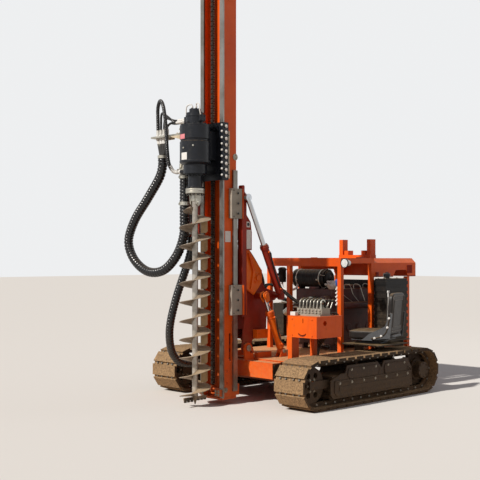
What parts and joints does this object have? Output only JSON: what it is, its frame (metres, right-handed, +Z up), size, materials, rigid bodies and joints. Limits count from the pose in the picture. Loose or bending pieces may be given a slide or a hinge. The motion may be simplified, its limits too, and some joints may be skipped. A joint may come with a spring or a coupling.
{
  "type": "crawler auger drill rig",
  "caption": "Tracked auger rig for driving and pre-drilling piles, with a folding, sliding mast, chain-fed rotary head, open engine bay and side console.",
  "frame": {"origin": "on the ground under the middle of the whole machine, on its centre plane", "axes": "+X forward towards the mast and auger, +Y towards the operator's seat and console, +Z up"},
  "size_m": [3.28, 2.26, 4.91],
  "materials": {
    "track_shoes": "worn steel shoes caked with sandy soil",
    "undercarriage": "dark brown paint, worn and dusty",
    "body_paint": "orange-red gloss paint, dusty, scuffed at the edges",
    "boom_paint": "dark red paint, dusty",
    "head_black": "blue-black paint, oily",
    "bare_steel": "bare steel with soil and light rust",
    "rod_chrome": "hard chrome",
    "fittings": "zinc plated",
    "black_parts": "black paint, dusty",
    "engine_red": "maroon engine paint",
    "lamp_white": "clear moulded lens in a white case",
    "seat_frame": "grey paint",
    "seat_vinyl": "black vinyl cover",
    "hose_rubber": "black rubber with spiral guard"
  },
  "bodies": {
    "chassis": {"track_left": "track_shoes", "track_right": "track_shoes", "track_frame_left": "undercarriage", "track_frame_right": "undercarriage", "front_idlers": "undercarriage", "drive_sprockets": "undercarriage", "track_rollers": "undercarriage", "chassis_frame": "boom_paint", "front_beam": "body_paint", "deck": "body_paint", "side_platforms": "black_parts", "engine_frame": "body_paint", "engine_hood": "body_paint", "mast_rest": "body_paint", "engine_block": "engine_red", "air_cleaner": "black_parts", "cooler": "black_parts", "hydraulic_tank": "black_parts", "fuel_tank": "black_parts", "work_lamp": "lamp_white", "console": "body_paint", "valve_bank": "bare_steel", "control_levers": "fittings", "seat_pedestal": "seat_frame", "seat_cushion": "seat_vinyl", "seat_back": "seat_vinyl"},
    "boom": {"boom": "boom_paint"},
    "boom_barrels": {"boom_cylinder_barrels": "body_paint"},
    "boom_rods": {"boom_cylinder_rods": "rod_chrome"},
    "slide_frame": {"slide_frame": "boom_paint", "fold_brackets": "body_paint", "guide_blocks": "bare_steel", "slide_cylinder_barrel": "head_black"},
    "tilt_barrels": {"tilt_cylinder_barrels": "boom_paint"},
    "tilt_rods": {"tilt_cylinder_rods": "rod_chrome"},
    "mast": {"mast_channel": "body_paint", "mast_rails": "bare_steel", "feed_chain": "head_black", "mast_head": "body_paint", "mast_foot": "body_paint", "slide_cylinder_rod": "head_black", "hose_tray": "boom_paint", "supply_hose": "hose_rubber"},
    "carriage": {"carriage": "head_black", "carriage_guides": "head_black", "gearbox": "head_black", "drive_motor": "head_black", "hose_bracket": "fittings", "hose_loop": "hose_rubber", "over_hose": "hose_rubber"},
    "auger": {"auger_stem": "bare_steel", "auger_flight": "bare_steel", "auger_bit": "bare_steel"}
  },
  "joints": [
    {"name": "boom_lift", "type": "hinge", "parent": "chassis", "child": "boom", "pos_m": [0.865, 0, 0.56], "axis": [0, 1, 0], "range_deg": [0, 8]},
    {"name": "mast_fold", "type": "hinge", "parent": "boom", "child": "slide_frame", "pos_m": [0.731, 0, 1.3], "axis": [0, 1, 0], "range_deg": [-90, 4]},
    {"name": "mast_slide", "type": "slide", "parent": "slide_frame", "child": "mast", "axis": [0, 0, 1], "range_m": [0, 0.6]},
    {"name": "head_feed", "type": "slide", "parent": "mast", "child": "carriage", "axis": [0, 0, 1], "range_m": [-1.6, 1.7]},
    {"name": "auger_spin", "type": "hinge", "parent": "carriage", "child": "auger", "pos_m": [1.475, 0, 2.2], "axis": [0, 0, 1], "continuous": true},
    {"name": "boom_barrel_swing", "type": "hinge", "parent": "chassis", "child": "boom_barrels", "pos_m": [0.446, 0, 0.508], "axis": [0, 1, 0], "range_deg": [-0.12, 5.39]},
    {"name": "boom_rod_slide", "type": "slide", "parent": "boom_barrels", "child": "boom_rods", "axis": [0.4016, 0, 0.9158], "range_m": [-0.00118, 0.05038]},
    {"name": "tilt_barrel_swing", "type": "hinge", "parent": "boom", "child": "tilt_barrels", "pos_m": [0.44, 0, 1.1], "axis": [0, 1, 0], "range_deg": [-80.36, 5.09]},
    {"name": "tilt_rod_slide", "type": "slide", "parent": "tilt_barrels", "child": "tilt_rods", "axis": [0.4403, 0, 0.8979], "range_m": [-0.47725, 0.03034]}
  ],
  "couplings": [
    {"joint": "boom_barrel_swing", "follows": "boom_lift", "ratio": 0.6595},
    {"joint": "boom_rod_slide", "follows": "boom_lift", "m_per_rad": 0.3523},
    {"joint": "tilt_barrel_swing", "follows": "mast_fold", "ratio": 0.8752},
    {"joint": "tilt_rod_slide", "follows": "mast_fold", "m_per_rad": 0.2977}
  ]
}
